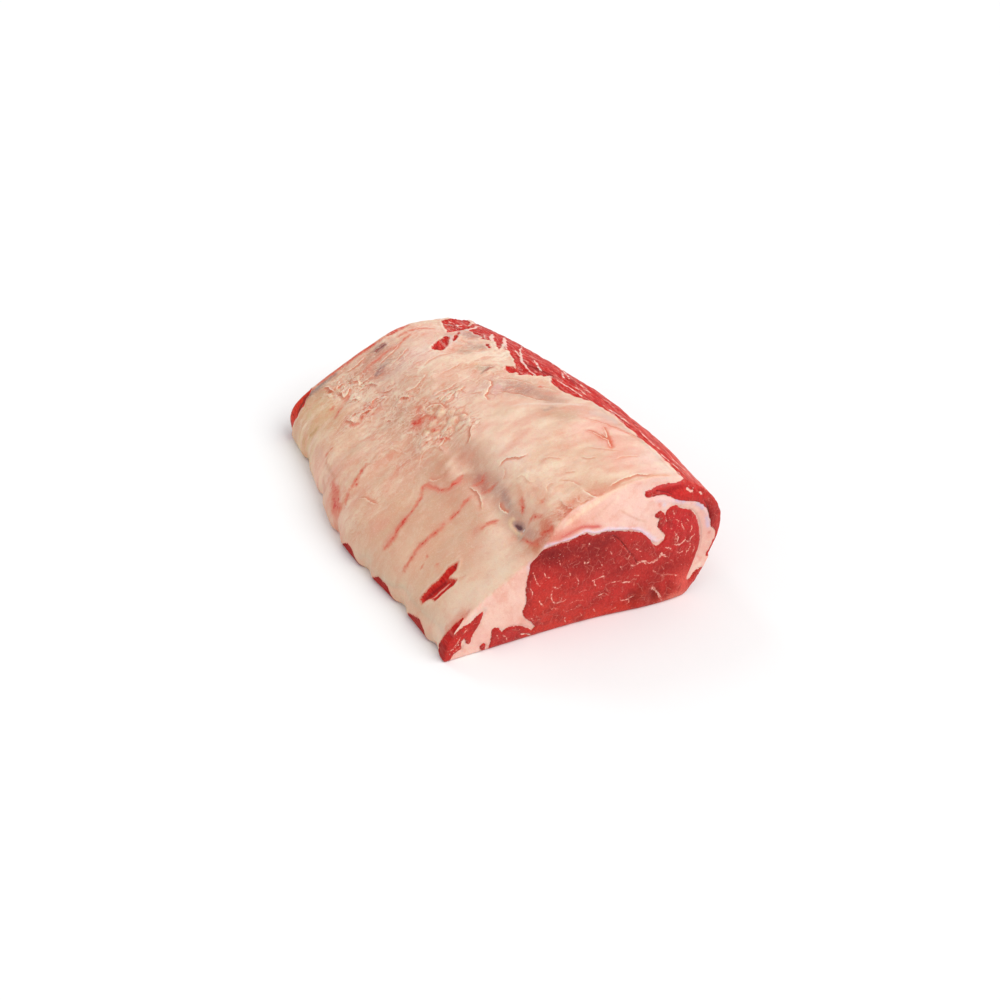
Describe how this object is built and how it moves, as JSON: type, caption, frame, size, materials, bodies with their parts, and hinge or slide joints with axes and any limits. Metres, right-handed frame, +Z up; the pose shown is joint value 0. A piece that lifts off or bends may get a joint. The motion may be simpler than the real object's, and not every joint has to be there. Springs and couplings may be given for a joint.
{
  "type": "raw beef rib roast",
  "caption": "Raw boneless beef rib roast, lip on: a crowned block of meat under a pale fat cover, cut square at both ends to show the eye, the cap and the lip muscles.",
  "frame": {"origin": "middle of the footprint, on the surface that the roast lies on", "axes": "+X from the thin lip to the thick chine side, +Y along the muscles from the larger cut to the smaller one, +Z up"},
  "size_m": [0.2556, 0.3556, 0.1127],
  "materials": {
    "fat": "moist cream and pink fat, satin",
    "lean": "fresh red meat, moist, finely marbled"
  },
  "bodies": {
    "root": {"fat_cover": "fat", "eye_muscle": "lean", "cap_muscle": "lean", "lip_muscle": "lean", "flank_muscle": "lean"}
  },
  "joints": []
}
